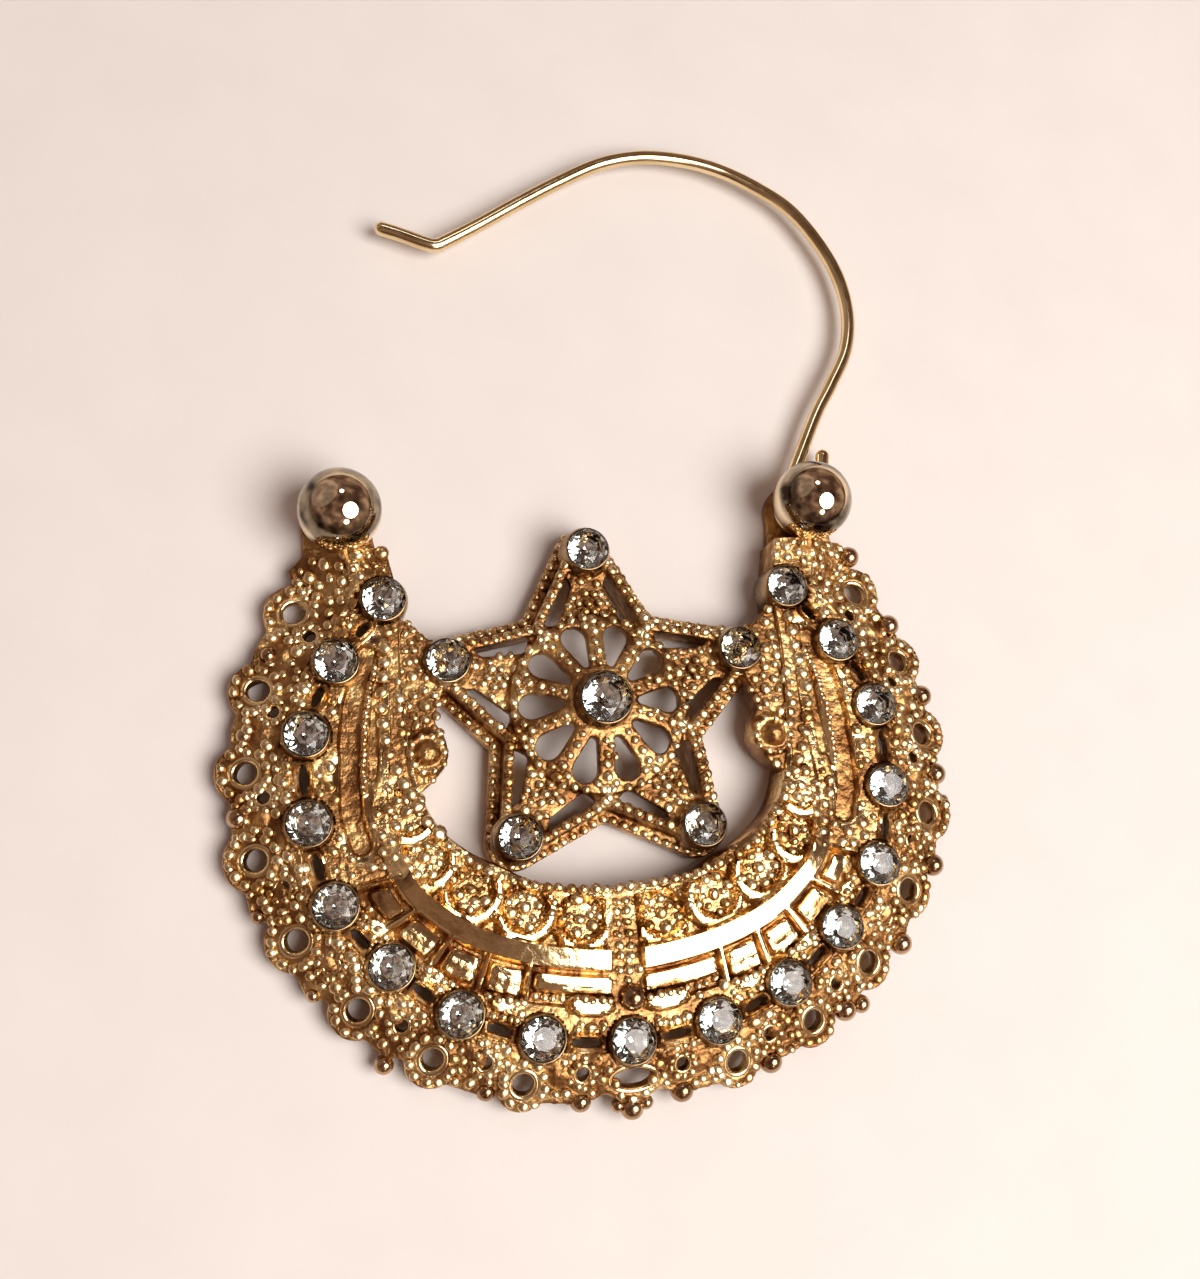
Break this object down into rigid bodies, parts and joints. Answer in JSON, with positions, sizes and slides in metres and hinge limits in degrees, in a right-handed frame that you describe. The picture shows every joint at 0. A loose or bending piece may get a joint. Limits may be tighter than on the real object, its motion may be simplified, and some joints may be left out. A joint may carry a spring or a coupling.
{
  "type": "hoop earring",
  "caption": "Gold-tone crescent hoop earring with a five-pointed star inside, a pierced lace border, cut stones in cups, a ball at each end and a hinged ear wire.",
  "frame": {"origin": "middle of the length and width, on the plane that the earring's back rests on", "axes": "+Z out of the earring's front, +Y towards the top of the ear wire, +X to the right seen from the front"},
  "size_m": [0.04, 0.0548, 0.0054],
  "materials": {
    "cast_gold": "polished gold tone, darker in the recesses",
    "wire_gold": "polished gold tone wire",
    "cut_stone": "clear cut glass with a foiled back"
  },
  "bodies": {
    "earring": {"earring_body": "cast_gold", "centre_stone": "cut_stone", "crescent_stone_01": "cut_stone", "crescent_stone_02": "cut_stone", "crescent_stone_03": "cut_stone", "crescent_stone_04": "cut_stone", "crescent_stone_05": "cut_stone", "crescent_stone_06": "cut_stone", "crescent_stone_07": "cut_stone", "crescent_stone_08": "cut_stone", "crescent_stone_09": "cut_stone", "crescent_stone_10": "cut_stone", "crescent_stone_11": "cut_stone", "crescent_stone_12": "cut_stone", "crescent_stone_13": "cut_stone", "crescent_stone_14": "cut_stone", "crescent_stone_15": "cut_stone", "crescent_stone_16": "cut_stone", "crescent_stone_17": "cut_stone", "star_stone_1": "cut_stone", "star_stone_2": "cut_stone", "star_stone_3": "cut_stone", "star_stone_4": "cut_stone", "star_stone_5": "cut_stone"},
    "wire": {"ear_wire": "wire_gold"}
  },
  "joints": [
    {"name": "wire_hinge", "type": "hinge", "parent": "earring", "child": "wire", "pos_m": [0.0131, 0.0048, 0.00125], "axis": [0, 0, 1], "range_deg": [-85, 35]}
  ]
}
